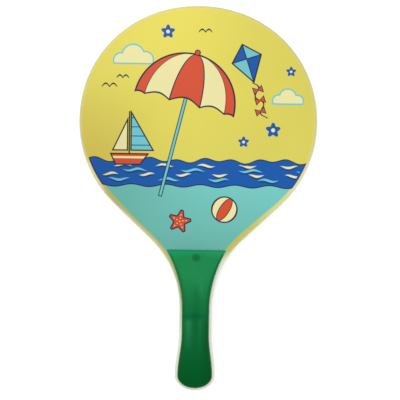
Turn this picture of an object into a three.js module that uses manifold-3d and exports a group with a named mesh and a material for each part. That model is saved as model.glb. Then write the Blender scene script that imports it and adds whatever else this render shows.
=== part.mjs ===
import * as THREE from "three";
import { mergeVertices } from "three/addons/utils/BufferGeometryUtils.js";
import Module from "manifold-3d";

// Frescobol racket: a five-ply wooden board with a printed front, held between two
// moulded halves of a plastic grip. Millimetres. +Y runs from the grip to the head and
// +Z out of the printed face. The racket lies on its back, on the crown of the grip.

const wasm = await Module();
wasm.setup();

const { clamp, lerp, smoothstep, degToRad } = THREE.MathUtils;

// Outline of the board, from the head down to the butt
const headHalfWidth = 117.7;
const headRise = 114.3;
const headRoundness = 2.05;
const cheekOffset = 4.8;
const shoulderTurn = degToRad(46.8);
const neckRadius = 92;
const handleHalfWidth = 15.8;
const waistLength = 25.9;
const flareLength = 40.9;
const buttHalfWidth = 19.6;
const buttRise = 14.5;

// Thickness of the board and the sanded round of its edge
const plyNames = [
  "back_face_veneer",
  "back_crossband",
  "core_veneer",
  "front_crossband",
  "front_face_veneer",
];
const plyThickness = 1.16;
const glueLine = 0.05;
const edgeRadius = 2;

// Plan of a grip half
const gripLength = 138.4;
const sideMargin = 2.4;
const cornerMargin = 5.2;
const marginFade = 44;

// Crown of a grip half: a step and a short ramp at the top edge, then a slow swell
const stepHeight = 1.2;
const rampLength = 3.8;
const rampHeight = 4.6;
const swellLength = 44;
const crownHeight = 8.5;
const crownRoundness = 3.2;

// Walls and ribs of a grip half, and the gap that seated pieces keep
const wall = 1.8;
const endWall = 6;
const ribThickness = 1.4;
const seatGap = 0.05;

// Fixings: bosses of the front half go through the board into reach of the screws
const fixingNames = ["grip_screw_upper", "grip_screw_middle", "grip_screw_lower"];
const firstFixingDrop = 7.2;
const lastFixingRise = 16.4;
const bossDiameter = 8;
const bossClearance = 0.3;
const bossSetback = 0.3;
const dimpleDiameter = 7.4;
const dimpleDepth = 0.5;
const wellFloor = 2;
const wellClearance = 0.7;
const screwReach = 1.35;
const pilotOverrun = 0.8;

// Pan-head self-tapping screw
const threadDiameter = 2.9;
const pointLength = 2;
const pointDiameter = 0.8;
const headDiameter = 5.6;
const headHeight = 2.2;
const headRim = 0.9;
const domeRoundness = 2.6;
const crossSpan = 3.2;
const crossWidth = 0.8;
const crossDepth = 1.2;
const threadClearance = 0.1;
const passClearance = 0.25;

// How far a cutter runs past what it cuts
const cutOverrun = 1;

// Finish of the faceting
const normalStepShare = 0.001;
const plyLevels = 4;
const rampStations = 2;
const swellStations = 22;
const sectionSteps = 7;
const roundSides = 24;
const edgeSamples = 12;
const domeSteps = 5;

const quarterTurn = Math.PI / 2;
const halfTurn = Math.PI;

const boardThickness = plyNames.length * plyThickness + (plyNames.length - 1) * glueLine;
const halfBoard = boardThickness / 2;

// Corners between the stretches of the outline, with the head's widest line at y = 0
const cheekRadius = headHalfWidth - cheekOffset;
const shoulderDirection = new THREE.Vector2(-Math.sin(shoulderTurn), -Math.cos(shoulderTurn));
const cheekEnd = new THREE.Vector2(
  cheekOffset + cheekRadius * Math.cos(shoulderTurn),
  -cheekRadius * Math.sin(shoulderTurn),
);
const neckSpan = neckRadius * (1 - Math.cos(shoulderTurn));
const shoulderLength = (cheekEnd.x - neckSpan - handleHalfWidth) / Math.sin(shoulderTurn);
const neckStart = cheekEnd.clone().addScaledVector(shoulderDirection, shoulderLength);
const waistTopY = neckStart.y - neckRadius * Math.sin(shoulderTurn);
const flareTopY = waistTopY - waistLength;
const buttCentreY = flareTopY - flareLength;
const buttEndY = buttCentreY - buttRise;

const gripTopY = buttEndY + gripLength;
const buttDrop = gripTopY - buttCentreY;
const lastFixingDrop = gripLength - lastFixingRise;
const fixingDrops = fixingNames.map((name, i) =>
  lerp(firstFixingDrop, lastFixingDrop, i / (fixingNames.length - 1)),
);

// One quarter of a superellipse, from its top (turn 90 degrees) to its side (turn 0)
function superellipse(halfWidth, rise, roundness, turn) {
  const reach = (value) => Math.max(0, value) ** (2 / roundness);
  return new THREE.Vector2(halfWidth * reach(Math.cos(turn)), rise * reach(Math.sin(turn)));
}

// Right-hand half of the outline: each stretch runs from its upper end (0) to its lower end (1)
const headStretch = {
  steps: 18,
  at: (share) => superellipse(headHalfWidth, headRise, headRoundness, quarterTurn * (1 - share)),
};
const cheekStretch = {
  steps: 8,
  at: (share) =>
    new THREE.Vector2(
      cheekOffset + cheekRadius * Math.cos(shoulderTurn * share),
      -cheekRadius * Math.sin(shoulderTurn * share),
    ),
};
const shoulderStretch = {
  steps: 2,
  at: (share) => cheekEnd.clone().lerp(neckStart, share),
};
const neckStretch = {
  steps: 9,
  at: (share) => {
    const turn = shoulderTurn * (1 - share);
    return new THREE.Vector2(
      handleHalfWidth + neckRadius * (1 - Math.cos(turn)),
      waistTopY + neckRadius * Math.sin(turn),
    );
  },
};
const waistStretch = {
  steps: 1,
  at: (share) => new THREE.Vector2(handleHalfWidth, lerp(waistTopY, flareTopY, share)),
};
const flareStretch = {
  steps: 6,
  at: (share) =>
    new THREE.Vector2(
      lerp(handleHalfWidth, buttHalfWidth, (1 - Math.cos(halfTurn * share)) / 2),
      lerp(flareTopY, buttCentreY, share),
    ),
};
const buttStretch = {
  steps: 9,
  at: (share) => {
    const point = superellipse(buttHalfWidth, buttRise, 2, quarterTurn * share);
    return point.set(point.x, buttCentreY - point.y);
  },
};
const outlineStretches = [
  headStretch,
  cheekStretch,
  shoulderStretch,
  neckStretch,
  waistStretch,
  flareStretch,
  buttStretch,
];

// A point of a stretch, moved inwards from the edge by insetAt(point)
function insetPoint(stretch, share, insetAt) {
  const point = stretch.at(share);
  const before = stretch.at(Math.max(0, share - normalStepShare));
  const after = stretch.at(Math.min(1, share + normalStepShare));
  const along = after.sub(before).normalize();
  const inwards = new THREE.Vector2(along.y, -along.x);
  return point.clone().addScaledVector(inwards, insetAt(point));
}

// The whole right-hand half line, top centre to bottom centre, inset by a fixed distance
function halfOutline(inset) {
  const line = [new THREE.Vector2(0, headRise - inset)];
  for (const stretch of outlineStretches) {
    for (let i = 1; i <= stretch.steps; i++) {
      line.push(insetPoint(stretch, i / stretch.steps, () => inset));
    }
  }
  line.at(-1).set(0, buttEndY + inset);
  return line;
}

// A closed skin of triangles, given by its faces
class Skin {
  constructor() {
    this.positions = [];
  }

  triangle(a, b, c) {
    for (const corner of [a, b, c]) this.positions.push(corner.x, corner.y, corner.z);
  }

  quad(a, b, c, d) {
    this.triangle(a, b, c);
    this.triangle(a, c, d);
  }

  geometry() {
    const made = new THREE.BufferGeometry();
    return made.setAttribute("position", new THREE.Float32BufferAttribute(this.positions, 3));
  }
}

// A solid that booleans can cut, from any closed geometry
function solid(geometry) {
  const bare = geometry.index ? geometry.toNonIndexed() : geometry.clone();
  bare.deleteAttribute("normal");
  bare.deleteAttribute("uv");
  const merged = mergeVertices(bare);
  const corners = merged.index.array;
  const triVerts = [];
  for (let i = 0; i < corners.length; i += 3) {
    const [a, b, c] = corners.slice(i, i + 3);
    if (a !== b && b !== c && c !== a) triVerts.push(a, b, c);
  }
  return new wasm.Manifold(
    new wasm.Mesh({
      numProp: 3,
      vertProperties: merged.attributes.position.array,
      triVerts: new Uint32Array(triVerts),
    }),
  );
}

function geometryOf(body) {
  const { numProp, vertProperties, triVerts } = body.getMesh();
  const positions = [];
  for (let i = 0; i < vertProperties.length; i += numProp) {
    positions.push(...vertProperties.slice(i, i + 3));
  }
  const made = new THREE.BufferGeometry();
  made.setAttribute("position", new THREE.Float32BufferAttribute(positions, 3));
  made.setIndex([...triVerts]);
  return made.toNonIndexed();
}

// A round bar along Z between two heights, at a place on the grip's centre line
function bar(diameter, y, fromZ, toZ) {
  const length = toZ - fromZ;
  const cylinder = new THREE.CylinderGeometry(diameter / 2, diameter / 2, length, roundSides);
  cylinder.rotateX(quarterTurn);
  cylinder.translate(0, y, fromZ + length / 2);
  return solid(cylinder);
}

// How far the sanded edge lies inside the full outline, at a height in the board
function edgeInset(z) {
  const depth = Math.abs(z) - (halfBoard - edgeRadius);
  if (depth <= 0) return 0;
  return edgeRadius - Math.sqrt(Math.max(0, edgeRadius ** 2 - depth ** 2));
}

// One ply of the board, with its share of the rounded edge and the holes for the bosses
function plyGeometry(bottomZ) {
  const skin = new Skin();
  const rings = [];
  for (let i = 0; i <= plyLevels; i++) {
    const z = bottomZ + (plyThickness * i) / plyLevels;
    const inset = edgeInset(z);
    if (i > 0 && i < plyLevels && inset === 0) continue;
    const right = halfOutline(inset).map((point) => new THREE.Vector3(point.x, point.y, z));
    const left = right.map((point) => new THREE.Vector3(-point.x, point.y, z));
    rings.push({ right, left });
  }
  const count = rings[0].right.length;
  for (let i = 0; i + 1 < count; i++) {
    for (let level = 0; level + 1 < rings.length; level++) {
      const low = rings[level];
      const high = rings[level + 1];
      skin.quad(low.right[i], high.right[i], high.right[i + 1], low.right[i + 1]);
      skin.quad(low.left[i], low.left[i + 1], high.left[i + 1], high.left[i]);
    }
    const bottom = rings[0];
    const top = rings[rings.length - 1];
    skin.quad(bottom.left[i], bottom.right[i], bottom.right[i + 1], bottom.left[i + 1]);
    skin.quad(top.left[i], top.left[i + 1], top.right[i + 1], top.right[i]);
  }
  let body = solid(skin.geometry());
  for (const drop of fixingDrops) {
    const hole = bar(
      bossDiameter + 2 * bossClearance,
      gripTopY - drop,
      bottomZ - cutOverrun,
      bottomZ + plyThickness + cutOverrun,
    );
    body = body.subtract(hole);
  }
  return geometryOf(body);
}

// Height of a grip half's crown over its seat, at a distance below its top edge
function crownAt(drop) {
  if (drop < rampLength) return lerp(stepHeight, rampHeight, drop / rampLength);
  return lerp(rampHeight, crownHeight, smoothstep(drop, rampLength, rampLength + swellLength));
}

// Bare wood left beside a grip half, wider at its upper corners
function marginAt(point) {
  const share = clamp((gripTopY - point.y) / marginFade, 0, 1);
  return lerp(sideMargin, cornerMargin, (1 - share) ** 2);
}

// The side line of a grip half moved inwards by a wall, and its half width at any height
function sideLine(inset) {
  const line = [];
  for (const stretch of [shoulderStretch, neckStretch, waistStretch, flareStretch]) {
    for (let i = 0; i <= stretch.steps * edgeSamples; i++) {
      const share = i / (stretch.steps * edgeSamples);
      line.push(insetPoint(stretch, share, (point) => marginAt(point) + inset));
    }
  }
  return line;
}

function halfWidthAt(line, y) {
  const below = line.findIndex((point) => point.y <= y);
  if (below <= 0) return line.at(below).x;
  const [upper, lower] = [line[below - 1], line[below]];
  return lerp(upper.x, lower.x, (upper.y - y) / (upper.y - lower.y));
}

// The skin of a grip half over its flat seat at z = 0, thinner by a wall all round
// and starting lower by topInset. With a skirt it goes on below the seat, as a cutter.
function gripSkin({ inset = 0, topInset = 0, skirt = 0 }) {
  const line = sideLine(inset);
  const stations = [];
  const addStation = (drop) => {
    const y = gripTopY - drop;
    stations.push({
      edge: new THREE.Vector2(halfWidthAt(line, y), y),
      spineY: y,
      crown: crownAt(drop) - inset,
    });
  };
  for (let i = 0; i < rampStations; i++) {
    if (topInset < rampLength) addStation(lerp(topInset, rampLength, i / rampStations));
  }
  const swellTop = Math.max(topInset, rampLength);
  for (let i = 0; i <= swellStations; i++) addStation(lerp(swellTop, buttDrop, i / swellStations));
  for (let i = 1; i <= buttStretch.steps; i++) {
    const share = i / buttStretch.steps;
    stations.push({
      edge: insetPoint(buttStretch, share, () => sideMargin + inset),
      spineY: buttCentreY,
      crown: crownAt(buttDrop) - inset,
    });
  }
  stations.at(-1).edge.x = 0;

  // Levels of a section, from the seat up to the crown
  const levels = skirt > 0 ? [{ reach: 1, height: 0, floor: -skirt }] : [];
  for (let k = 0; k <= sectionSteps; k++) {
    const turn = (quarterTurn * k) / sectionSteps;
    const point = superellipse(1, 1, crownRoundness, turn);
    levels.push({ reach: point.x, height: point.y, floor: 0 });
  }
  levels.at(-1).reach = 0;
  const place = ({ edge, spineY, crown }, { reach, height, floor }, side) =>
    new THREE.Vector3(side * edge.x * reach, lerp(spineY, edge.y, reach), floor + crown * height);

  const skin = new Skin();
  for (let j = 0; j + 1 < stations.length; j++) {
    const [upper, lower] = [stations[j], stations[j + 1]];
    for (let k = 0; k + 1 < levels.length; k++) {
      const [low, high] = [levels[k], levels[k + 1]];
      skin.quad(
        place(upper, low, 1),
        place(upper, high, 1),
        place(lower, high, 1),
        place(lower, low, 1),
      );
      skin.quad(
        place(upper, low, -1),
        place(lower, low, -1),
        place(lower, high, -1),
        place(upper, high, -1),
      );
    }
    skin.quad(
      place(upper, levels[0], -1),
      place(upper, levels[0], 1),
      place(lower, levels[0], 1),
      place(lower, levels[0], -1),
    );
  }
  const top = stations[0];
  for (let k = 0; k + 1 < levels.length; k++) {
    const [low, high] = [levels[k], levels[k + 1]];
    skin.quad(place(top, low, 1), place(top, low, -1), place(top, high, -1), place(top, high, 1));
  }
  return solid(skin.geometry());
}

// A hollow grip half over its seat, with a rib along it and one across at its middle fixing
function ribbedShell() {
  const outer = gripSkin({});
  const cavity = gripSkin({ inset: wall, topInset: endWall, skirt: cutOverrun });
  const insides = gripSkin({ inset: wall / 2, topInset: endWall / 2 });
  const lengthRib = new THREE.BoxGeometry(ribThickness, gripLength, 2 * crownHeight);
  lengthRib.translate(0, gripTopY - firstFixingDrop - gripLength / 2, 0);
  const crossRib = new THREE.BoxGeometry(2 * buttHalfWidth, ribThickness, 2 * crownHeight);
  const middleDrop = fixingDrops[(fixingDrops.length - 1) / 2];
  crossRib.translate(0, gripTopY - middleDrop, 0);
  const ribs = solid(lengthRib).add(solid(crossRib)).intersect(insides);
  return { shell: outer.subtract(cavity).add(ribs), insides };
}

const boardWithGaps = boardThickness + 2 * seatGap;
const screwSeat = wellFloor + seatGap;
const bossReach = boardWithGaps - bossSetback;
const threadLength = screwSeat + boardWithGaps + screwReach;
const pilotTop = screwReach + pilotOverrun;

// Front half: tubular bosses that go down through the board, and a sink over the upper one
function frontGripGeometry() {
  const { shell, insides } = ribbedShell();
  let body = shell;
  for (const drop of fixingDrops) {
    const y = gripTopY - drop;
    const root = bar(bossDiameter, y, 0, crownHeight).intersect(insides);
    const stem = bar(bossDiameter, y, -bossReach, stepHeight / 2);
    const pilot = bar(threadDiameter + 2 * threadClearance, y, -bossReach - cutOverrun, pilotTop);
    body = body.add(root).add(stem).subtract(pilot);
  }
  const sinkZ = crownAt(firstFixingDrop) - dimpleDepth;
  const sink = bar(dimpleDiameter, gripTopY - firstFixingDrop, sinkZ, crownHeight);
  return geometryOf(body.subtract(sink));
}

// Back half: a well for each screw head, with a floor that lies over the boss hole
function backGripGeometry() {
  const { shell, insides } = ribbedShell();
  const wellDiameter = headDiameter + 2 * wellClearance;
  let body = shell;
  for (const drop of fixingDrops) {
    const y = gripTopY - drop;
    const tower = bar(wellDiameter + 2 * wall, y, 0, crownHeight).intersect(insides);
    const well = bar(wellDiameter, y, wellFloor, crownHeight + cutOverrun);
    const pass = bar(threadDiameter + 2 * passClearance, y, -cutOverrun, wellFloor + cutOverrun);
    body = body.add(tower).subtract(well).subtract(pass);
  }
  return geometryOf(body);
}

// Screw along -Z: its head's underside at z = 0 and its crossed head outside
function screwGeometry() {
  const profile = [
    new THREE.Vector2(0, -threadLength),
    new THREE.Vector2(pointDiameter / 2, -threadLength),
    new THREE.Vector2(threadDiameter / 2, pointLength - threadLength),
    new THREE.Vector2(threadDiameter / 2, 0),
    new THREE.Vector2(headDiameter / 2, 0),
  ];
  for (let i = 0; i <= domeSteps; i++) {
    const turn = (quarterTurn * i) / domeSteps;
    const dome = superellipse(headDiameter / 2, headHeight - headRim, domeRoundness, turn);
    profile.push(new THREE.Vector2(dome.x, headRim + dome.y));
  }
  profile.at(-1).x = 0;
  const turned = new THREE.LatheGeometry(profile, roundSides);
  const slot = new THREE.BoxGeometry(crossSpan, 2 * crossDepth, crossWidth);
  slot.translate(0, headHeight, 0);
  const otherSlot = slot.clone().rotateY(quarterTurn);
  const screw = geometryOf(solid(turned).subtract(solid(slot)).subtract(solid(otherSlot)));
  return screw.rotateX(-quarterTurn);
}

const printedFace = { color: 0xe4d65c, roughness: 0.45, metalness: 0 };
const lightVeneer = { color: 0xd8bb84, roughness: 0.6, metalness: 0 };
const crossVeneer = { color: 0xb8905c, roughness: 0.75, metalness: 0 };
const greenPlastic = { color: 0x0e7040, roughness: 0.25, metalness: 0 };
const zincSteel = { color: 0xb9bcbd, roughness: 0.35, metalness: 0.9 };

const plyFinishes = {
  back_face_veneer: lightVeneer,
  back_crossband: crossVeneer,
  core_veneer: lightVeneer,
  front_crossband: crossVeneer,
  front_face_veneer: printedFace,
};

const racket = new THREE.Group();
racket.name = "frescobol_racket";

function addPiece(name, geometry, finish) {
  const piece = new THREE.Mesh(geometry, new THREE.MeshStandardMaterial(finish));
  piece.name = name;
  piece.geometry.computeVertexNormals();
  racket.add(piece);
  return piece;
}

plyNames.forEach((name, i) => {
  const bottomZ = i * (plyThickness + glueLine) - halfBoard;
  addPiece(name, plyGeometry(bottomZ), plyFinishes[name]);
});

const frontGrip = addPiece("front_grip_scale", frontGripGeometry(), greenPlastic);
frontGrip.position.z = halfBoard + seatGap;

const backGrip = addPiece("back_grip_scale", backGripGeometry(), greenPlastic);
backGrip.position.z = -halfBoard - seatGap;
backGrip.rotation.y = halfTurn;

fixingNames.forEach((name, i) => {
  const screw = addPiece(name, screwGeometry(), zincSteel);
  screw.position.set(0, gripTopY - fixingDrops[i], -halfBoard - seatGap - screwSeat);
});

// The part's origin: under the middle of the racket, on the surface that it lies on
racket.position.set(0, -(headRise + buttEndY) / 2, halfBoard + seatGap + crownHeight);

export default racket;
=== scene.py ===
import math

import bpy
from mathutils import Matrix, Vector


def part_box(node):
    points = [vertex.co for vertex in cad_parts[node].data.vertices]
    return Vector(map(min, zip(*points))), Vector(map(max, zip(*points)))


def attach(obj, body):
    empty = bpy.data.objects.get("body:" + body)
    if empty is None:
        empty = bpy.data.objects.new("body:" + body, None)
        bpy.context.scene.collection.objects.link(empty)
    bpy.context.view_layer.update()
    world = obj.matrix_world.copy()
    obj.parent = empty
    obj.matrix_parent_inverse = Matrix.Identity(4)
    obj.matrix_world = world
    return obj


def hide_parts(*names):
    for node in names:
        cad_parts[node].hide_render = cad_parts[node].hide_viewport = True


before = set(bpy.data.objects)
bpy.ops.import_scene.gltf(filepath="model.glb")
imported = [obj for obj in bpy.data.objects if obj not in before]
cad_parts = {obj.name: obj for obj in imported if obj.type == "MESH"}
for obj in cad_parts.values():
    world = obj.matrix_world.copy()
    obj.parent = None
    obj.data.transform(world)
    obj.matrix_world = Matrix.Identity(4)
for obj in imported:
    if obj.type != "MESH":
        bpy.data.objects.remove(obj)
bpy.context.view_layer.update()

# Frescobol racket: a printed five-ply wooden board in two halves of a moulded green grip.
# Metres in the row frame: +Y runs from the grip to the head, +Z out of the printed face.

millimetre = 0.001

# Outline of the board, in millimetres from the middle of its head
head_half_width = 117.7
head_rise = 114.3
head_roundness = 2.05
cheek_offset = 4.8
shoulder_turn = math.radians(46.8)
neck_radius = 92
handle_half_width = 15.8

# Bare wood beside the grip, in millimetres, wider at the grip's upper corners
side_margin = 2.4
corner_margin = 5.2
margin_fade = 44

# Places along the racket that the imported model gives, in millimetres
screw_names = ["grip_screw_upper", "grip_screw_middle", "grip_screw_lower"]
board_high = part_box("core_veneer")[1]
grip_low, grip_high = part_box("front_grip_scale")
head_centre = (board_high.y - head_rise * millimetre) / millimetre
grip_top = grip_high.y / millimetre
grip_butt = grip_low.y / millimetre


def middle_y(node):
    low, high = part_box(node)
    return (low.y + high.y) / 2


fixings = [middle_y(name) / millimetre for name in screw_names]

# Camera: straight above the printed face, turned a little, as the racket lies in the picture
printed_face_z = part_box("front_face_veneer")[1].z
picture_side = 400
pixel = 0.9867 * millimetre
camera_rise = 1.2
camera_roll = math.radians(0.81)
view_centre = Vector((2.84, -2.10)) * millimetre
sensor_width = 36


# Node trees

# Numbers of a Mix node's sockets when it mixes colours
mix_share, mix_under, mix_over, mixed_colour = 0, 6, 7, 2


class Wire:
    """An output socket in one finish, with arithmetic that adds Math nodes."""

    def __init__(self, finish, socket):
        self.finish = finish
        self.socket = socket

    def math(self, operation, *values):
        return self.finish.node("ShaderNodeMath", {"operation": operation}, values)

    def __add__(self, other):
        return self.math("ADD", self, other)

    __radd__ = __add__

    def __sub__(self, other):
        return self.math("SUBTRACT", self, other)

    def __rsub__(self, other):
        return self.math("SUBTRACT", other, self)

    def __mul__(self, other):
        return self.math("MULTIPLY", self, other)

    __rmul__ = __mul__

    def __truediv__(self, other):
        return self.math("DIVIDE", self, other)

    def __pow__(self, other):
        return self.math("POWER", self, other)

    def __neg__(self):
        return self.math("MULTIPLY", self, -1.0)

    def __abs__(self):
        return self.math("ABSOLUTE", self)

    def least(self, other):
        return self.math("MINIMUM", self, other)

    def most(self, other):
        return self.math("MAXIMUM", self, other)

    def above(self, level):
        return self.math("GREATER_THAN", self, level)

    def sine(self):
        return self.math("SINE", self)

    def cosine(self):
        return self.math("COSINE", self)

    def root(self):
        return self.math("SQRT", self)

    def arcsine(self):
        return self.math("ARCSINE", self)

    def angle_from(self, upwards):
        """The turn of a place about its centre, from this distance across and one upwards."""
        return self.math("ARCTAN2", self, upwards)

    def folded(self, length):
        """The value going up and down between 0 and a length."""
        return self.math("PINGPONG", self, length)

    def spread(self, low, high, to_low=0.0, to_high=1.0):
        """The value carried from one range to another, and held at its ends."""
        return self.finish.node(
            "ShaderNodeMapRange", {"clamp": True}, [self, low, high, to_low, to_high]
        )

    def near(self, centre, core, fade, strength=1.0):
        """The full strength within a core about a centre, and nothing beyond the fade."""
        return abs(self - centre).spread(core, fade, strength, 0.0)


class Nodes:
    """A node tree, and the one method that adds nodes to it."""

    def __init__(self, owner):
        owner.use_nodes = True
        self.tree = owner.node_tree
        self.tree.nodes.clear()

    def node(self, kind, settings=None, inputs=(), output=0):
        made = self.tree.nodes.new(kind)
        for name, value in (settings or {}).items():
            setattr(made, name, value)
        pairs = inputs.items() if isinstance(inputs, dict) else enumerate(inputs)
        for key, value in pairs:
            socket = made.inputs[key]
            if isinstance(value, Wire):
                self.tree.links.new(value.socket, socket)
            else:
                socket.default_value = value
        return Wire(self, made.outputs[output]) if made.outputs else made

    def other_output(self, wire, name):
        return Wire(self, wire.socket.node.outputs[name])


class Finish(Nodes):
    """One material, with the place on its piece in millimetres."""

    def __init__(self, name):
        self.material = bpy.data.materials.new(name)
        super().__init__(self.material)
        where = self.node("ShaderNodeTexCoord", output="Object")
        scaled = self.node(
            "ShaderNodeVectorMath",
            {"operation": "SCALE"},
            {"Vector": where, "Scale": 1 / millimetre},
        )
        self.x = self.node("ShaderNodeSeparateXYZ", {}, [scaled])
        self.y = self.other_output(self.x, "Y")
        self.z = self.other_output(self.x, "Z")
        self.place = (self.x, self.y, self.z)

    def upright(self):
        """How far a surface faces upwards: 1 on top, 0 at the side, -1 below."""
        facing = self.node("ShaderNodeNewGeometry", output="Normal")
        return self.other_output(self.node("ShaderNodeSeparateXYZ", {}, [facing]), "Z")

    def noise(self, place, scales, detail=2.0, roughness=0.5):
        """Noise from 0 to 1 at a place, by its scale per millimetre in each direction."""
        scaled = [part * scale for part, scale in zip(place, scales)]
        return self.node(
            "ShaderNodeTexNoise",
            {"noise_dimensions": "3D"},
            {
                "Vector": self.node("ShaderNodeCombineXYZ", {}, scaled),
                "Scale": 1.0,
                "Detail": detail,
                "Roughness": roughness,
            },
        )

    def mix(self, under, over, share):
        """One colour laid over another, by a share from 0 to 1."""
        return self.node(
            "ShaderNodeMix",
            {"data_type": "RGBA", "blend_type": "MIX"},
            {mix_share: share, mix_under: under, mix_over: over},
            mixed_colour,
        )

    def brighten(self, colour, gain):
        """A colour made lighter or darker by a varying gain."""
        return self.node(
            "ShaderNodeVectorMath", {"operation": "SCALE"}, {"Vector": colour, "Scale": gain}
        )

    def bump(self, height, depth):
        """A normal that follows a height from 0 to 1, for a relief of the given depth in metres."""
        return self.node(
            "ShaderNodeBump", {}, {"Strength": 1.0, "Distance": depth, "Height": height}
        )

    def close(self, **values):
        """The shader with its values, by socket names in plain words."""
        names = {key: key.replace("_", " ").title().replace("Ior", "IOR") for key in values}
        shader = self.node(
            "ShaderNodeBsdfPrincipled", {}, {names[key]: value for key, value in values.items()}
        )
        self.node("ShaderNodeOutputMaterial", {}, {"Surface": shader})
        return self.material


# Colours

def linear(value):
    """A 0-255 screen value as linear light, by the sRGB curve."""
    knee, slope, offset, power = 0.04045, 12.92, 0.055, 2.4
    share = value / 255
    return share / slope if share <= knee else ((share + offset) / (1 + offset)) ** power


def ink(red, green, blue):
    """A printed or moulded colour, from its 0-255 screen values."""
    return (linear(red), linear(green), linear(blue), 1.0)


# Inks of the print
yellow = ink(226, 214, 88)
# Painted shade: the yellow where less light falls, away from the top and low on the left
shaded_yellow = ink(212, 202, 88)
shaded_ochre = ink(211, 191, 80)
teal = ink(106, 184, 173)
# Teal where painted light falls on the field
lit_teal = ink(113, 195, 188)
turquoise = ink(110, 194, 199)
sea_blue = ink(3, 83, 163)
coral = ink(208, 76, 42)
navy = ink(12, 22, 62)
cream = ink(232, 224, 162)

# Yellow that shows round the teal: at the left shoulder, the right one and the grip's corner
left_rim_yellow = ink(171, 182, 100)
right_rim_yellow = ink(202, 210, 134)
corner_rim_yellow = ink(188, 187, 90)

# Woods, the first three each with the colour of its grain
printed_wood, printed_wood_grain = ink(242, 243, 220), ink(228, 226, 190)
varnished_wood, varnished_wood_grain = ink(234, 218, 176), ink(217, 194, 144)
cross_wood, cross_wood_grain = ink(212, 184, 136), ink(188, 154, 106)
# Tan of the sanded edge, partly painted shade on its steep faces
sanded_wood_in_shade = ink(222, 201, 154)
# Near-white wood that carries a painted highlight
highlit_wood = ink(251, 253, 240)

# Painted reflection: green that the plastic throws on the wood beside it, on the left of the neck
# and elsewhere
neck_green_reflection = ink(146, 178, 100)
handle_green_reflection = ink(152, 212, 160)

# Plastic
# Lighter at the thin top and darker to the thick end, partly by the depth of plastic and partly as
# painted shade
thin_lit_green = ink(31, 135, 77)
handle_green = ink(13, 112, 58)
butt_shaded_green = ink(0, 86, 34)
# Painted highlight on the ramp at the top of the grip, left and right
left_ramp_highlight = ink(12, 152, 92)
right_ramp_highlight = ink(33, 150, 97)
# Painted shade along the step at the top edge
step_shade_green = ink(20, 128, 84)
# Painted highlights on the sides of the handle and beside the neck
side_highlight_green = ink(42, 132, 84)
neck_highlight_green = ink(38, 144, 88)
boss_green = ink(0, 96, 50)
# Painted shade on the steep side walls of the grip
wall_shade_green = ink(6, 78, 32)
neck_wall_shade_green = ink(16, 92, 6)

# Zinc plate
zinc_light, zinc_dark = ink(196, 198, 200), ink(150, 152, 156)


# Measures of the board, in millimetres from the middle of its head

# Half the width over which left-hand tones give way to right-hand ones, on the head and the neck
soft_middle = 20.0
narrow_middle = 4.0


def between(first, second, share):
    """A value between two others, by a share from 0 to 1."""
    return first + (second - first) * share


def on_right(x):
    """0 on the board's left side and 1 on its right."""
    return x.spread(-soft_middle, soft_middle)


def towards_grip(y):
    """0 on the shoulders of the board and 1 beside the grip's upper corners."""
    shoulder_y, corner_y = -84.0, -104.0
    return y.spread(shoulder_y, corner_y)


def distance_to(across, up):
    return (across * across + up * up).root()


def patch(x, y, centre, core, fade):
    """1 within the core of a round patch, and 0 beyond its fade."""
    return distance_to(x - centre[0], y - centre[1]).spread(fade, core)


def board_margin(x, y):
    """Distance from the board's edge, by the curves of its outline from the head to the neck."""
    across = abs(x)
    lean_x, lean_y = math.cos(shoulder_turn), math.sin(shoulder_turn)
    cheek_radius = head_half_width - cheek_offset
    cheek_end = (cheek_offset + cheek_radius * lean_x, -cheek_radius * lean_y)
    neck_x = handle_half_width + neck_radius
    neck_start_x = neck_x - neck_radius * lean_x
    shoulder_fall = (cheek_end[0] - neck_start_x) * lean_x / lean_y
    neck_start_y = cheek_end[1] - shoulder_fall
    neck_y = neck_start_y - neck_radius * lean_y
    ring = (across / head_half_width) ** head_roundness + (abs(y) / head_rise) ** head_roundness
    head = (1.0 - ring ** (1 / head_roundness)) * ((head_half_width + head_rise) / 2)
    cheek = cheek_radius - distance_to(across - cheek_offset, y)
    shoulder = cheek_radius + cheek_offset * lean_x - (across * lean_x - y * lean_y)
    neck = distance_to(across - neck_x, y - neck_y) - neck_radius
    margin = neck
    for stretch, lower_end in ((shoulder, neck_start_y), (cheek, cheek_end[1]), (head, 0.0)):
        margin = between(margin, stretch, y.above(lower_end))
    return margin


# Shapes of the printed picture. Each gives a signed distance in millimetres, negative inside.

line_width = 1.3
print_softness = 0.35


def inside(distance):
    """1 where a signed distance is below zero, with the soft edge of screen-printed ink."""
    return distance.spread(-print_softness / 2, print_softness / 2, 1.0, 0.0)


def along_line(distance, width=line_width):
    return inside(abs(distance) - width / 2)


def turned(x, y, centre, lean):
    """The place in a motif's own axes: its centre, leaning to the right by an angle."""
    cosine, sine = math.cos(lean), math.sin(lean)
    across = x * cosine - y * sine - (centre[0] * cosine - centre[1] * sine)
    up = x * sine + y * cosine - (centre[0] * sine + centre[1] * cosine)
    return across, up


def swell(place, length, height, phase=0.0):
    """A wave along a line, by its length and height."""
    return (place * (2 * math.pi / length) + phase).sine() * height


def convex(x, y, corners):
    """Signed distance to a convex outline whose corners run anticlockwise."""
    result = None
    for (x0, y0), (x1, y1) in zip(corners, corners[1:] + corners[:1]):
        length = math.hypot(x1 - x0, y1 - y0)
        out_x, out_y = (y1 - y0) / length, (x0 - x1) / length
        side = x * out_x + y * out_y - (x0 * out_x + y0 * out_y)
        result = side if result is None else result.most(side)
    return result


def gores(across, up, radius, count):
    """Panels that meet at a pole: cosine of the turn between them, and the distance to a seam."""
    least_square = 1.0
    half_chord = (radius * radius - up * up).most(least_square).root()
    turn = (across / half_chord).most(-1.0).least(1.0).arcsine()
    seam = (turn * count).cosine()
    return seam, seam * half_chord * (1 / count)


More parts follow.
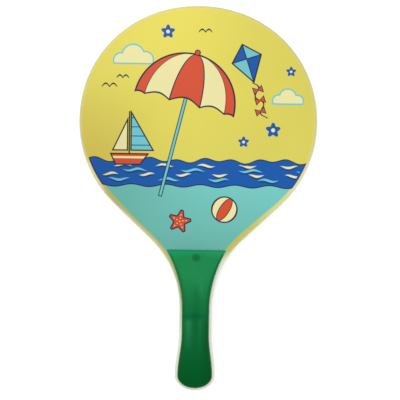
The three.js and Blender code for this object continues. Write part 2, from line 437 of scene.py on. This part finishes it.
def star(away, turn, reach, waist):
    """Five tapering arms with rounded ends, and the turn from the nearest arm's middle."""
    arms, arm_rounding = 5, 1.0
    half_sector = math.pi / arms
    folded = turn.folded(half_sector)
    along, beside = away * folded.cosine(), away * folded.sine()
    run, rise = waist * math.cos(half_sector) - reach, waist * math.sin(half_sector)
    length = math.hypot(run, rise)
    side = along * (rise / length) - beside * (run / length) - reach * rise / length
    return (side - arm_rounding).most(away - reach), folded


# Motifs of the printed picture, each laid over the colour below it.
# Their places are in millimetres from the middle of the head.

def yellow_ground(face, x, y):
    """The yellow of the head with painted light and shade: lightest towards its top middle, darker
    away from it, and a shaded ochre low on the left.
    """
    brightest_x, brightest_y, narrowing = -15.0, 78.0, 0.9
    lit_to_shaded, leftwards, downwards = (30.0, 125.0), (-40.0, -105.0), (40.0, -30.0)
    # Painted light and shade: lighter near the top middle, darker away from it and low on the left
    away = distance_to((x - brightest_x) * narrowing, y - brightest_y)
    colour = face.mix(yellow, shaded_yellow, away.spread(*lit_to_shaded))
    low_left_shade = x.spread(*leftwards) * y.spread(*downwards)
    return face.mix(colour, shaded_ochre, low_left_shade)


def sand(face, colour, x, y, margin):
    """The teal field, which leaves a yellow rim along the board's edge, with painted light making
    it paler towards its upper right.
    """
    top, rim_fade, rim_share = -60.0, 10.0, 0.8
    rightwards, lit_rightwards, lit_upwards = (-50.0, 40.0), (-60.0, 40.0), (-112.0, -68.0)
    # The stretch down either side over which the rim changes its width, and both widths
    left_stretch, left_widths = (-73.0, -92.0), (5.7, 4.1)
    right_stretch, right_widths = (-80.0, -112.0), (4.2, 5.9)
    right_yellow = face.mix(right_rim_yellow, corner_rim_yellow, towards_grip(y))
    rim_yellow = face.mix(left_rim_yellow, right_yellow, x.spread(*rightwards))
    colour = face.mix(colour, rim_yellow, y.spread(top, top - rim_fade) * rim_share)
    left_rim = y.spread(*left_stretch, *left_widths)
    right_rim = y.spread(*right_stretch, *right_widths)
    field = (between(left_rim, right_rim, on_right(x)) - margin).most(y - top)
    # Painted light: the teal paler towards the upper right
    lit_teal_share = x.spread(*lit_rightwards) * y.spread(*lit_upwards)
    return face.mix(colour, face.mix(teal, lit_teal, lit_teal_share), inside(field))


def sea(face, colour, x, y, margin):
    """The blue band between two wavy lines, with rows of broken ripples."""
    top, bottom, outline = -39.0, -64.0, 1.0
    left_rim, right_rim = 3.9, 3.1
    rim = between(left_rim, right_rim, on_right(x))
    crest = swell(x, length=27, height=1.6) + swell(x, length=61, height=1.1)
    trough = swell(x, length=34, height=1.3, phase=1.0)
    band = (y - crest - top).most(trough + bottom - y).most(rim - margin)
    colour = face.mix(colour, sea_blue, inside(band))
    # Each row's place, the length of a ripple with its gap, its phase and its ink
    rows = [
        (-44.0, 41, 0.3, cream),
        (-48.6, 57, 2.1, turquoise),
        (-53.0, 36, 4.0, cream),
        (-57.8, 49, 5.2, turquoise),
    ]
    sway_length, sway_height = 19, 1.0
    fullness, gap, inset = 1.5, 0.35, 2.0
    shade_drop, shade_fullness, shade_inset = 2.1, 0.4, 1.5
    for place, length, phase, paint in rows:
        above_row = y - swell(x, sway_length, sway_height, phase) - place
        thickness = swell(x, length, fullness, phase) - gap
        ripple = (abs(above_row) - thickness).most(band + inset)
        colour = face.mix(colour, paint, inside(ripple))
        shade = abs(above_row + shade_drop) - thickness * shade_fullness
        colour = face.mix(colour, navy, inside(shade.most(band + shade_inset)))
    return face.mix(colour, navy, along_line(band, outline))


def clouds(face, colour, x, y):
    """Two clouds in outline, each of three puffs on a flat base."""
    base_drop, outline = 3.0, 1.5
    # Centre and radius of each puff
    puff_rows = [
        [(-77.0, 59.0, 7.5), (-65.0, 64.0, 11.0), (-53.0, 60.0, 8.0)],
        [(79.0, 21.0, 6.0), (88.0, 24.5, 8.5), (97.5, 21.0, 6.0)],
    ]
    for puffs in puff_rows:
        cloud = None
        for puff_x, puff_y, radius in puffs:
            puff = distance_to(x - puff_x, y - puff_y) - radius
            cloud = puff if cloud is None else cloud.least(puff)
        base = puffs[0][1] - base_drop
        cloud = cloud.most(base - y)
        colour = face.mix(colour, cream, inside(cloud))
        colour = face.mix(colour, turquoise, along_line(cloud, outline))
    return colour


def gulls(face, colour, x, y):
    """Gulls far off, each a pair of arched strokes."""
    stroke, arch_share = 1.6, 0.42
    for gull_x, gull_y, span in ((-88.0, 33.0, 7.5), (-75.0, 42.0, 6.0), (6.0, 88.0, 6.5)):
        across = x - gull_x
        arch = (abs(across) * (math.pi / span)).sine() * (arch_share * span)
        gull = (abs(y - gull_y - arch) - stroke / 2).most(abs(across) - span)
        colour = face.mix(colour, navy, inside(gull))
    return colour


def flowers(face, colour, x, y):
    """Small blue flowers with five petals and a pale heart."""
    petals, petal_depth, heart_share = 5.0, 0.2, 0.26
    # Centre and radius of each flower
    places = [(-31.0, 88.0, 7.0), (74.0, -8.0, 7.5), (45.0, -20.0, 5.5), (91.0, 50.0, 5.0)]
    for flower_x, flower_y, radius in places:
        across, up = x - flower_x, y - flower_y
        away, turn = distance_to(across, up), across.angle_from(up)
        edge = ((turn * petals).cosine() * petal_depth + (1.0 - petal_depth)) * radius
        colour = face.mix(colour, sea_blue, inside(away - edge))
        colour = face.mix(colour, cream, inside(away - heart_share * radius))
    return colour


def sailing_boat(face, colour, x, y):
    """A small boat on the band, with a mainsail, a jib and a striped hull."""
    deck, keel, sail_foot = -33.0, -43.5, -29.5
    mast_x, mast_top, mast_width = -67.7, 9.0, 1.4
    stripe_y, stripe_width = -36.5, 2.2
    batten_start, batten_gap, batten_width = -11.0, 9.0, 1.0
    hull = convex(x, y, [(-86.0, deck), (-81.0, keel), (-57.0, keel), (-49.0, deck)])
    mainsail = convex(x, y, [(-66.0, sail_foot), (-44.0, sail_foot), (-66.0, 8.0)])
    jib = convex(x, y, [(-84.0, sail_foot), (-69.5, sail_foot), (-69.5, 1.0)])
    mast = (abs(x - mast_x) - mast_width / 2).most(y - mast_top).most(deck - y)
    colour = face.mix(colour, navy, inside(mast))
    for shape, paint in ((hull, coral), (mainsail, turquoise), (jib, cream)):
        colour = face.mix(colour, paint, inside(shape))
    stripe = hull.most(abs(y - stripe_y) - stripe_width / 2)
    colour = face.mix(colour, cream, inside(stripe))
    from_batten = abs((y - batten_start).folded(batten_gap) - batten_gap / 2)
    batten = mainsail.most(from_batten - batten_width / 2)
    colour = face.mix(colour, sea_blue, inside(batten))
    outlines = abs(hull).least(abs(mainsail)).least(abs(jib)) - line_width / 2
    return face.mix(colour, navy, inside(outlines))


def parasol(face, colour, x, y):
    """A beach parasol with five panels, a scalloped edge and a leaning pole."""
    centre, lean, radius = (-14.0, 17.0), math.radians(14), 50.0
    pole_length, pole_top, pole_width = 94.0, 10.0, 3.0
    panels, scallop_rise, scallop_fade = 5, 6.0, 0.9
    knob_rise, knob_radius = 2.0, 2.6
    pole_outline, seam_width, canopy_outline, knob_outline = 0.9, 1.2, 1.6, 1.0
    across, up = turned(x, y, centre, lean)
    pole = (abs(across) - pole_width / 2).most(up - pole_top).most(-up - pole_length)
    colour = face.mix(colour, turquoise, inside(pole))
    colour = face.mix(colour, navy, along_line(pole, pole_outline))
    seam, from_seam = gores(across, up, radius, panels)
    scallop = abs(seam) * (1.0 - (across / radius) ** 2 * scallop_fade) * scallop_rise
    canopy = (distance_to(across, up) - radius).most(scallop - up)
    colour = face.mix(colour, coral, inside(canopy))
    colour = face.mix(colour, cream, inside(canopy.most(from_seam)))
    seams = canopy.most(abs(from_seam) - seam_width / 2)
    colour = face.mix(colour, navy, inside(seams))
    colour = face.mix(colour, navy, along_line(canopy, canopy_outline))
    knob = distance_to(across, up - radius - knob_rise) - knob_radius
    colour = face.mix(colour, coral, inside(knob))
    return face.mix(colour, navy, along_line(knob, knob_outline))


def kite(face, colour, x, y):
    """A diamond kite in four fields, and its tail with three bows."""
    centre, lean = (47.0, 62.0), math.radians(-18)
    half_width, top, bottom, spar_width = 15.0, 15.0, 24.0, 1.0
    field_slope = 0.2
    tail_end, tail_width, sway_length, sway_reach = -62.0, 1.4, 17, 3.0
    bow_places, bow_reach, bow_flare = (-32.5, -43.0, -53.5), 4.6, 0.62
    knot_thickness, bow_outline = 0.5, 0.8
    across, up = turned(x, y, centre, lean)
    diamond = convex(
        across, up, [(0.0, top), (-half_width, 0.0), (0.0, -bottom), (half_width, 0.0)]
    )
    colour = face.mix(colour, turquoise, inside(diamond))
    blue_fields = diamond.most(across * up * field_slope)
    colour = face.mix(colour, sea_blue, inside(blue_fields))
    spars = diamond.most(abs(across).least(abs(up)) - spar_width / 2)
    from_tail = abs(across - swell(up, sway_length, sway_reach))
    tail = (from_tail - tail_width / 2).most(up + bottom).most(tail_end - up)
    outline = (abs(diamond) - line_width / 2).least(spars).least(tail)
    colour = face.mix(colour, navy, inside(outline))
    for place in bow_places:
        knot = math.sin(place * (2 * math.pi / sway_length)) * sway_reach
        reach, rise = abs(across - knot), abs(up - place)
        bow = (rise - reach * bow_flare - knot_thickness).most(reach - bow_reach)
        colour = face.mix(colour, coral, inside(bow))
        colour = face.mix(colour, navy, along_line(bow, bow_outline))
    return colour


def play_ball(face, colour, x, y):
    """A striped ball on the sand."""
    centre, lean, radius = (27.0, -87.0), math.radians(32), 12.5
    panels, seam_width = 4, 0.9
    across, up = turned(x, y, centre, lean)
    from_seam = gores(across, up, radius, panels)[1]
    ball = distance_to(across, up) - radius
    colour = face.mix(colour, cream, inside(ball))
    colour = face.mix(colour, coral, inside(ball.most(-from_seam)))
    seams = ball.most(abs(from_seam) - seam_width / 2)
    return face.mix(colour, navy, inside(seams.least(abs(ball) - line_width / 2)))


def starfish(face, colour, x, y):
    """A starfish on the sand, with a row of pale dots along each arm."""
    centre, lean, reach, waist = (-17.0, -99.0), math.radians(12), 11.0, 4.4
    dot_gap, dot_narrowing, dot_size, dots_reach, outline = 3.2, 1.6, 0.85, 8.6, 1.2
    across, up = turned(x, y, centre, lean)
    away = distance_to(across, up)
    body, turn = star(away, across.angle_from(up), reach, waist)
    colour = face.mix(colour, coral, inside(body))
    along_arm = -(away * (2 * math.pi / dot_gap)).cosine()
    dots = along_arm + turn * away * dot_narrowing + (1.0 - dot_size)
    colour = face.mix(colour, cream, inside(dots.most(away - dots_reach)))
    return face.mix(colour, navy, along_line(body, outline))


# Wood

def veneer_tone(face, along_y, light, dark):
    """Rotary-cut veneer: broad growth bands and fine streaks along the grain.

    Gives the colour and the height of the grain.
    """
    x, y, z = face.place
    across, along = (x, y) if along_y else (y, x)
    place = (across, along, z)
    band_scale, bend = 0.09, 3.6
    broad_share, fine_share, palest, darkest = 0.55, 0.45, 0.34, 0.66
    no_pore, deep_pore, pore_darkening = 0.62, 0.72, 0.22
    fine_height, pore_depth = 0.7, 0.3
    waver = face.noise(place, scales=(0.02, 0.008, 0.02))
    bent = (across * band_scale + waver * bend, along, z)
    broad = face.noise(bent, scales=(1.0, 0.006, 0.3), detail=3.0, roughness=0.6)
    fine = face.noise(place, scales=(1.4, 0.035, 1.4), detail=4.0, roughness=0.65)
    pores = face.noise(place, scales=(4.5, 0.22, 3.0), detail=1.0).spread(no_pore, deep_pore)
    figure = (broad * broad_share + fine * fine_share).spread(palest, darkest)
    colour = face.mix(light, dark, figure)
    colour = face.brighten(colour, 1.0 - pores * pore_darkening)
    height = fine * fine_height - pores * pore_depth
    return colour, height


def print_lightness(x, y, cover, grain):
    """How light the print is: the fall of the light on it and the thickness of its ink."""
    plain, cover_gain, grain_gain = 0.975, 0.04, 0.05
    side_gain, band_gain, upper_right_loss, beside_grip_loss = 0.10, 0.075, 0.04, 0.06
    lit_side, downwards, towards_butt = 90.0, (60.0, -50.0), (-108.0, -122.0)
    # Lighter low on the right, and as much darker low on the left
    low_sides = x.spread(-lit_side, lit_side, -1.0, 1.0) * y.spread(*downwards)
    middle_of_band = patch(x, y, centre=(-8.0, -48.0), core=15.0, fade=70.0)
    upper_right = patch(x, y, centre=(45.0, 75.0), core=20.0, fade=60.0)
    lit = low_sides * side_gain + middle_of_band * band_gain
    dull = upper_right * upper_right_loss + y.spread(*towards_butt) * beside_grip_loss
    return cover * cover_gain + grain * grain_gain + lit - dull + plain


def worn_share(x, y, margin, upright, scuff):
    """How far the print is sanded or worn through to the wood near the board's edge, with a painted
    highlight of pale wood on the rounded edge beside the ends of the band.
    """
    sanded_facing, flat_facing, scuff_turn = 0.84, 1.0, 0.12
    most_worn, worn_inset, sound_inset, scuff_reach = 0.55, 0.8, 4.4, 1.6
    band_highlight_inset, band_highlight_fade_inset, band_ragged_reach = 2.8, 3.6, 0.6
    corner_kept, shoulder_kept, shoulder_y = 0.65, 0.75, -81.0
    into_band, out_of_band = (-36.0, -43.0), (-74.0, -66.0)
    sanded = (upright + scuff * scuff_turn).spread(sanded_facing, flat_facing, 1.0, 0.0)
    kept_right = on_right(x) * towards_grip(y) * corner_kept
    kept_left = x.spread(soft_middle, -soft_middle)
    kept_left = kept_left * y.near(shoulder_y, core=3.0, fade=12.0, strength=shoulder_kept)
    worn = (margin + scuff * scuff_reach).spread(worn_inset, sound_inset, most_worn, 0.0)
    worn = worn * (1.0 - kept_right - kept_left)
    # Painted highlight: pale wood beside the ends of the band stands in for light on the rounded
    # edge
    band_end_highlight = margin + scuff * band_ragged_reach
    band_end_highlight = band_end_highlight.spread(band_highlight_inset, band_highlight_fade_inset, most_worn, 0.0)
    band_end_highlight = band_end_highlight * (y.spread(*into_band) * y.spread(*out_of_band))
    return sanded.most(worn.most(band_end_highlight))


def edge_lightness(x, y, margin):
    """A thin line of painted shade just inside the edge of the head, strongest at its upper right.
    """
    line_inset, line_strength, extra_strength = 1.6, 0.13, 0.07
    above_band, upwards, rightwards = (-40.0, -20.0), (10.0, 50.0), (-50.0, 10.0)
    line = margin.near(line_inset, core=0.2, fade=1.1) * y.spread(*above_band)
    upper_right = y.spread(*upwards) * x.spread(*rightwards)
    return 1.0 - line * (upper_right * extra_strength + line_strength)


def bare_strips(face, x, margin, wood, upright):
    """The wood beside the grip, which has no print: its colour, with a painted highlight on its
    upward faces and a painted green reflection of the plastic, and the share that it has.
    """
    side_facing, top_facing, highlight_most = 0.35, 0.65, 0.8
    left_fade, right_fade = 16.0, 10.0
    left_tint, right_tint, lost_below = 0.85, 0.45, 0.7
    neck_drop, handle_drop = 46.0, 84.0
    # Distances from the board's edge where the tint starts and where it is full, left and right
    tint_starts, tint_full = (-0.1, 0.1), (1.3, 2.1)
    # Painted highlight: the upward faces of the bare wood are painted nearly white
    highlit = upright.spread(side_facing, top_facing, 0.0, highlight_most)
    wood_with_highlight = face.mix(wood, highlit_wood, highlit)
    right_strip = x.spread(-narrow_middle, narrow_middle)
    print_fade = between(left_fade, right_fade, right_strip)
    unprinted = (grip_top - face.y).spread(0.0, print_fade)
    below_neck = face.y.spread(grip_top - neck_drop, grip_top - handle_drop)
    # Painted reflection: green thrown by the plastic on the wood, full beside the grip and gone at
    # the board's edge
    tint_colour = face.mix(neck_green_reflection, handle_green_reflection, right_strip.most(below_neck))
    tint = margin.spread(between(*tint_starts, right_strip), between(*tint_full, right_strip))
    tint = tint * between(left_tint, right_tint, right_strip)
    tint = tint * (1.0 - below_neck * lost_below)
    return face.mix(wood_with_highlight, tint_colour, tint), unprinted


def printed_finish():
    """Screen-printed and lacquered face veneer, its rounded edge sanded through to the wood, with
    painted light and shade on the print, on its edge and on the bare wood beside the grip.
    """
    weathering_and_shade, side_facing, top_facing = 0.7, 0.42, 0.7
    face = Finish("printed_veneer")
    x = face.x
    y = face.y - head_centre
    wood, grain = veneer_tone(face, True, printed_wood, printed_wood_grain)
    margin = board_margin(x, y)
    cover = face.noise((x, y, face.z), scales=(0.05, 0.05, 1.0), detail=3.0)
    scuff = face.noise((x, y, face.z), scales=(0.6, 0.6, 1.0), detail=3.0)
    upright = face.upright()
    colour = yellow_ground(face, x, y)
    for ground in (sand, sea):
        colour = ground(face, colour, x, y, margin)
    for motif in (clouds, gulls, flowers, sailing_boat, parasol, kite, play_ball, starfish):
        colour = motif(face, colour, x, y)
    colour = face.brighten(colour, print_lightness(x, y, cover, grain))
    # Partly weathered bare wood and partly painted shade: tan on the steep faces of the rounded
    # edge
    weathered_shaded_wood = face.mix(wood, sanded_wood_in_shade, weathering_and_shade)
    wood = face.mix(weathered_shaded_wood, wood, upright.spread(side_facing, top_facing))
    colour = face.mix(colour, wood, worn_share(x, y, margin, upright, scuff))
    colour = face.brighten(colour, edge_lightness(x, y, margin))
    strip, unprinted = bare_strips(face, x, margin, wood, upright)
    return face.close(
        base_color=face.mix(colour, strip, unprinted),
        roughness=between(0.34, 0.46, cover),
        specular_ior_level=0.2,
        coat_weight=0.06,
        coat_roughness=0.25,
        normal=face.bump(grain, depth=0.03 * millimetre),
    )


def veneer_finish(name, along_y, light, dark, smoothest):
    """Bare veneer, more or less smooth from place to place."""
    unevenness = 0.2
    face = Finish(name)
    colour, grain = veneer_tone(face, along_y, light, dark)
    burnish = face.noise(face.place, scales=(0.2, 0.2, 2.0))
    return face.close(
        base_color=colour,
        roughness=burnish * unevenness + smoothest,
        specular_ior_level=0.4,
        normal=face.bump(grain, depth=0.05 * millimetre),
    )


# Plastic. A drop is a distance below the grip's upper edge, in millimetres.

def plastic_depth(face, x, drop):
    """The green of the grip from the top to its thick end, darker partly by the depth of plastic
    and partly by painted shade, with a painted highlight on the ramp at the top and a line of
    painted shade along the step.
    """
    thin_drop, handle_drop, thick_end = 24.0, 62.0, 12.0
    step_drop, step_fade = 0.4, 1.1
    ramp_drop, ramp_rise, ramp_fade, ramp_highlight_share = 0.6, 1.4, 2.4, 0.85
    short_ramp, long_ramp, short_within, long_beyond = 5.6, 10.5, 8.0, 22.0
    butt_drop = grip_top - grip_butt - thick_end
    # Darker towards the thick end, partly by the depth of plastic and partly as painted shade
    colour = face.mix(thin_lit_green, handle_green, drop.spread(thin_drop, handle_drop))
    colour = face.mix(colour, butt_shaded_green, drop.spread(handle_drop, butt_drop))
    # Painted highlight on the ramp
    ramp_end = abs(x).spread(short_within, long_beyond, short_ramp, long_ramp)
    ramp = drop.spread(ramp_drop, ramp_rise) * drop.spread(ramp_fade, ramp_end, 1.0, 0.0)
    ramp_highlight = face.mix(left_ramp_highlight, right_ramp_highlight, on_right(x))
    colour = face.mix(colour, ramp_highlight, ramp * ramp_highlight_share)
    # Painted shade along the step at the top edge
    return face.mix(colour, step_shade_green, drop.spread(step_drop, step_fade, 1.0, 0.0))


def plastic_ribs(face, colour, x, drop):
    """The rib along the middle, the one across it, and the light and shade on either side."""
    rib_x, left_highlight_x, right_highlight_x, neck_highlight_x = 0.5, -6.8, 4.5, 5.5
    rib_shade, cross_shade, side_shade, least_side_shade = 0.16, 0.14, 0.22, 0.35
    side_highlight_share, neck_highlight_share, right_highlight_share = 0.66, 0.36, 0.3
    # Drops over which each one fades in or out
    rib_starts, neck_highlight_starts, neck_highlight_ends = (32.0, 46.0), (22.0, 30.0), (48.0, 38.0)
    side_shade_fades = (88.0, 122.0)
    # The same below the rib across, and the width over which the right side turns dark
    rib_ends, side_highlight_starts, side_highlight_ends = (20.0, 4.0), (2.0, 6.0), (36.0, 8.0)
    side_shade_starts, rightwards = (1.0, 8.0), (5.0, 11.0)
    below_cross = drop - (grip_top - fixings[1])
    rib = x.near(rib_x, core=0.6, fade=5.5)
    rib = rib * drop.spread(*rib_starts) * below_cross.spread(*rib_ends)
    colour = face.brighten(colour, 1.0 - rib * rib_shade)
    # Painted highlights along the handle's sides below the rib across, and beside the neck
    side_highlight = x.near(left_highlight_x, core=0.6, fade=4.6)
    side_highlight = side_highlight + x.near(right_highlight_x, core=0.4, fade=2.8, strength=right_highlight_share)
    side_highlight = side_highlight * below_cross.spread(*side_highlight_starts)
    side_highlight = side_highlight * below_cross.spread(*side_highlight_ends)
    colour = face.mix(colour, side_highlight_green, side_highlight * side_highlight_share)
    neck_highlight = x.near(neck_highlight_x, core=0.5, fade=4.5)
    neck_highlight = neck_highlight * drop.spread(*neck_highlight_starts) * drop.spread(*neck_highlight_ends)
    colour = face.mix(colour, neck_highlight_green, neck_highlight * neck_highlight_share)
    shaded_side = below_cross.spread(*side_shade_starts) * x.spread(*rightwards)
    shaded_side = shaded_side * drop.spread(*side_shade_fades, 1.0, least_side_shade)
    colour = face.brighten(colour, 1.0 - shaded_side * side_shade)
    cross = below_cross.near(0.0, core=0.5, fade=3.0)
    return face.brighten(colour, 1.0 - cross * cross_shade)


def plastic_bosses(face, colour, x, y):
    """Dark spots over the three bosses."""
    softness = 1.8
    radii, strengths = (3.1, 3.6, 5.0), (0.66, 0.58, 0.1)
    for boss_y, radius, strength in zip(fixings, radii, strengths):
        spot = patch(x, y, (0.0, boss_y), radius - softness, radius + softness)
        colour = face.mix(colour, boss_green, spot * strength)
    return colour


def plastic_walls(face, colour, x, y, drop):
    """The darker side walls: painted shade on the steep sides, and the sight going through more
    plastic there.
    """
    level_facing, steep_facing = 0.93, 0.4
    wall_inset, narrow_wall, wide_wall, wall_shade_share = 0.8, 2.2, 4.2, 0.62
    past_ramp, widening, narrowing, onto_neck = (2.0, 6.0), (10.0, 28.0), (66.0, 98.0), (62.0, 46.0)
    # Painted shade on the steep faces and near the sides of the grip
    steep = abs(face.upright()).spread(level_facing, steep_facing)
    corner = (1.0 - drop.spread(0.0, margin_fade)) ** 2
    bare = between(side_margin, corner_margin, corner)
    from_side = board_margin(x, y - head_centre) - bare
    # The walls look widest between the neck and the middle of the handle
    wall_reach = drop.spread(*widening, narrow_wall, wide_wall) - drop.spread(*narrowing)
    wall = steep.most(from_side.spread(wall_inset, wall_reach, 1.0, 0.0))
    wall = wall * drop.spread(*past_ramp)
    left_of_neck = x.spread(narrow_middle, -narrow_middle) * drop.spread(*onto_neck)
    green = face.mix(wall_shade_green, neck_wall_shade_green, left_of_neck)
    return face.mix(colour, green, wall * wall_shade_share)


def plastic_finish():
    """Green translucent plastic: lighter where it is thin, darker over bosses, ribs and walls, with
    painted highlights and painted shade.
    """
    skin_share = 0.4
    face = Finish("moulded_green")
    x, y = face.x, face.y
    drop = grip_top - y
    colour = plastic_depth(face, x, drop)
    colour = plastic_ribs(face, colour, x, drop)
    colour = plastic_bosses(face, colour, x, y)
    colour = plastic_walls(face, colour, x, y, drop)
    flow = face.noise(face.place, scales=(0.35, 0.05, 0.3), detail=3.0)
    skin = face.noise(face.place, scales=(3.0, 3.0, 3.0))
    wear = face.noise(face.place, scales=(0.12, 0.12, 0.12), detail=4.0, roughness=0.6)
    return face.close(
        base_color=face.brighten(colour, between(0.94, 1.06, flow)),
        roughness=between(0.16, 0.34, wear),
        specular_ior_level=0.035,
        normal=face.bump(skin * skin_share + flow, depth=0.02 * millimetre),
    )


def zinc_finish():
    """Zinc-plated steel: fine spangle, turning marks and dull spots."""
    palest, darkest = 0.35, 0.7
    face = Finish("zinc_plate")
    spangle = face.noise(face.place, scales=(2.5, 2.5, 2.5), detail=4.0, roughness=0.6)
    marks = face.noise(face.place, scales=(0.8, 0.8, 12.0))
    return face.close(
        base_color=face.mix(zinc_light, zinc_dark, spangle.spread(palest, darkest)),
        metallic=0.95,
        roughness=between(0.2, 0.5, spangle),
        normal=face.bump(marks, depth=0.01 * millimetre),
    )


# Pieces

def pick_only(piece):
    bpy.ops.object.select_all(action="DESELECT")
    piece.select_set(True)
    bpy.context.view_layer.objects.active = piece


def joined_copy(node, name):
    """The piece that stands for a CAD node: its mesh with the loose triangles joined."""
    touching = 0.002 * millimetre
    piece = bpy.data.objects.new(name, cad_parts[node].data.copy())
    bpy.context.scene.collection.objects.link(piece)
    pick_only(piece)
    bpy.ops.mesh.customdata_custom_splitnormals_clear()
    bpy.ops.object.mode_set(mode="EDIT")
    bpy.ops.mesh.select_all(action="SELECT")
    bpy.ops.mesh.remove_doubles(threshold=touching)
    bpy.ops.object.mode_set(mode="OBJECT")
    return piece


def hand_over(piece, node, material):
    """A finished piece takes its material, its body and the place of its CAD node."""
    piece.data.materials.clear()
    piece.data.materials.append(material)
    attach(piece, "root")
    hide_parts(node)


def board_ply(node, material):
    piece = joined_copy(node, node + "_sheet")
    bpy.ops.object.shade_smooth_by_angle(angle=math.radians(32))
    hand_over(piece, node, material)
    return piece


def grip_half(node, material):
    """A grip half: the moulded shell with its facets smoothed and its corners eased."""
    flat_turn, squareness = math.radians(30), math.radians(60)
    corner_turn, corner_crease, rounding_steps = math.radians(38), 0.75, 2
    piece = joined_copy(node, node.replace("scale", "shell"))
    bpy.ops.object.mode_set(mode="EDIT")
    bpy.ops.mesh.select_all(action="SELECT")
    bpy.ops.mesh.tris_convert_to_quads(face_threshold=flat_turn, shape_threshold=squareness)
    bpy.ops.mesh.select_mode(type="EDGE")
    bpy.ops.mesh.select_all(action="DESELECT")
    bpy.ops.mesh.edges_select_sharp(sharpness=corner_turn)
    bpy.ops.transform.edge_crease(value=corner_crease)
    bpy.ops.object.mode_set(mode="OBJECT")
    rounding = piece.modifiers.new("rounding", "SUBSURF")
    rounding.levels = rounding_steps
    rounding.render_levels = rounding_steps
    bpy.ops.object.modifier_apply(modifier=rounding.name)
    pick_only(piece)
    bpy.ops.object.shade_smooth_by_angle(angle=math.radians(35))
    hand_over(piece, node, material)
    return piece


def grip_screw(node, material):
    piece = joined_copy(node, node.replace("grip_screw", "pan_screw"))
    bpy.ops.object.shade_smooth_by_angle(angle=math.radians(30))
    hand_over(piece, node, material)


# Studio

def resting_lean(pieces):
    """Slope and height of the floor that touches the back of the grip and the rim of the head."""
    tries = 6
    points = [(vertex.co.y, vertex.co.z) for piece in pieces for vertex in piece.data.vertices]
    of_grip = [point for point in points if point[0] < 0]
    of_head = [point for point in points if point[0] > 0]
    lean = 0.0
    for _ in range(tries):
        grip_y, grip_z = min(of_grip, key=lambda point: point[1] - lean * point[0])
        lean = min((z - grip_z) / (y - grip_y) for y, z in of_head)
    return lean, grip_z - lean * grip_y


def seen_rays(nodes):
    """1 for what the camera sees, straight or in a shine, and 0 for light that falls on things."""
    straight = nodes.node("ShaderNodeLightPath", output="Is Camera Ray")
    shine = nodes.other_output(straight, "Is Glossy Ray")
    through = nodes.other_output(straight, "Is Transmission Ray")
    return straight.most(shine).most(through)


def studio_floor(lean, floor_z):
    """A wide pale floor that the racket rests on. Seen by the camera it glows to white."""
    floor_side, floor_gap = 12.0, 0.05 * millimetre
    card_colour, glow_colour, glow_strength = (0.82, 0.82, 0.815), (1, 1, 1, 1), 0.5
    bpy.ops.object.select_all(action="DESELECT")
    bpy.ops.mesh.primitive_plane_add(size=floor_side, location=(0, 0, floor_z - floor_gap))
    floor = bpy.context.object
    floor.name = "studio_floor"
    floor.rotation_euler = (math.atan(lean), 0, 0)
    bpy.ops.object.transform_apply(location=True, rotation=True, scale=True)
    card = Finish("floor_card")
    seen = seen_rays(card)
    fibre = card.noise(card.place, scales=(0.4, 0.4, 0.4), detail=3.0)
    card_tone = card.brighten(card_colour, between(0.99, 1.01, fibre))
    matt = card.node("ShaderNodeBsdfDiffuse", {}, {"Color": card_tone})
    glow = card.node("ShaderNodeEmission", {}, {"Color": glow_colour, "Strength": glow_strength})
    both = card.node("ShaderNodeAddShader", {}, [matt, glow])
    surface = card.node("ShaderNodeMixShader", {}, [seen, matt, both])
    card.node("ShaderNodeOutputMaterial", {}, {"Surface": surface})
    floor.data.materials.append(card.material)


def studio_room():
    """A soft white room round the racket, plain white where the camera sees it."""
    white, fill_strength, seen_strength = (1, 1, 1, 1), 0.78, 1.0
    world = bpy.data.worlds.new("studio_room")
    bpy.context.scene.world = world
    room = Nodes(world)
    fill = room.node("ShaderNodeBackground", {}, {"Color": white, "Strength": fill_strength})
    sight = room.node("ShaderNodeBackground", {}, {"Color": white, "Strength": seen_strength})
    sky = room.node("ShaderNodeMixShader", {}, [seen_rays(room), fill, sight])
    room.node("ShaderNodeOutputWorld", {}, {"Surface": sky})


def studio_light():
    """One large soft lamp above the head of the racket."""
    lamp_place, lamp_aim = Vector((-0.3, 0.85, 1.2)), Vector((0, 0.02, 0))
    soft_box = bpy.data.lights.new("soft_box", "AREA")
    soft_box.shape = "DISK"
    soft_box.size = 1.4
    soft_box.energy = 7.5
    lamp = bpy.data.objects.new("soft_box", soft_box)
    lamp.location = lamp_place
    lamp.rotation_euler = (lamp_aim - lamp_place).to_track_quat("-Z", "Y").to_euler()
    bpy.context.scene.collection.objects.link(lamp)


def picture_camera():
    camera = bpy.data.cameras.new("picture_camera")
    camera.sensor_width = sensor_width
    camera.lens = sensor_width * camera_rise / (picture_side * pixel)
    stand = bpy.data.objects.new("picture_camera", camera)
    stand.location = (view_centre.x, view_centre.y, printed_face_z + camera_rise)
    stand.rotation_euler = (0, 0, camera_roll)
    bpy.context.scene.collection.objects.link(stand)
    bpy.context.scene.camera = stand


bpy.context.scene.view_settings.view_transform = "Standard"
picture_camera()

bare_veneer = veneer_finish("bare_veneer", True, varnished_wood, varnished_wood_grain, 0.35)
cross_veneer = veneer_finish("cross_veneer", False, cross_wood, cross_wood_grain, 0.6)
plies = [
    board_ply("back_face_veneer", bare_veneer),
    board_ply("back_crossband", cross_veneer),
    board_ply("core_veneer", bare_veneer),
    board_ply("front_crossband", cross_veneer),
    board_ply("front_face_veneer", printed_finish()),
]
moulded_green = plastic_finish()
halves = [grip_half(node, moulded_green) for node in ("front_grip_scale", "back_grip_scale")]
zinc = zinc_finish()
for screw in screw_names:
    grip_screw(screw, zinc)

studio_floor(*resting_lean(plies + halves))
studio_room()
studio_light()
